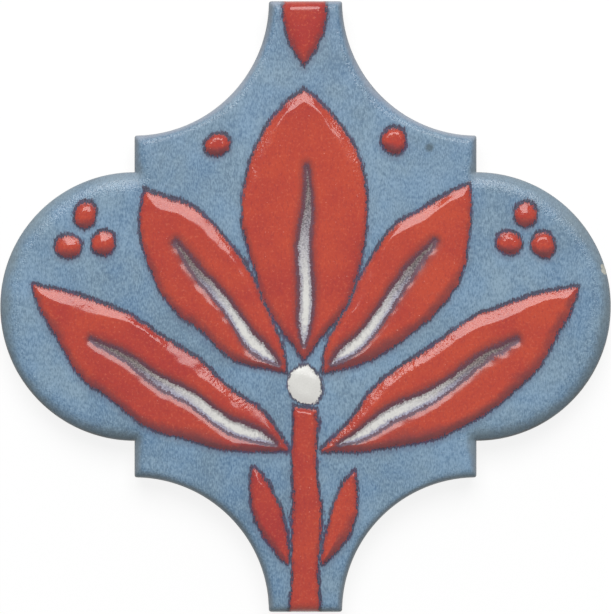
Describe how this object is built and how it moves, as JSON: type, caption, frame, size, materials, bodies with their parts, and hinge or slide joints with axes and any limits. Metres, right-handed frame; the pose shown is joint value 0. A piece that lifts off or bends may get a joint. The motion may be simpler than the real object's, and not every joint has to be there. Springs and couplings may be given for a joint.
{
  "type": "arabesque tile",
  "caption": "Glazed ceramic wall tile with an arabesque outline of round lobes, flat-ended necks and concave bays that interlock with its neighbours, and a raised palmette on the face.",
  "frame": {"origin": "middle of the back face, on the surface that the tile lies on", "axes": "+Z out of the glazed face, +Y along the necks towards the top of the motif, +X along the lobes"},
  "size_m": [0.15, 0.15, 0.0107],
  "materials": {
    "glazed_tile": "gloss"
  },
  "bodies": {
    "root": {"arabesque_tile": "glazed_tile"}
  },
  "joints": []
}
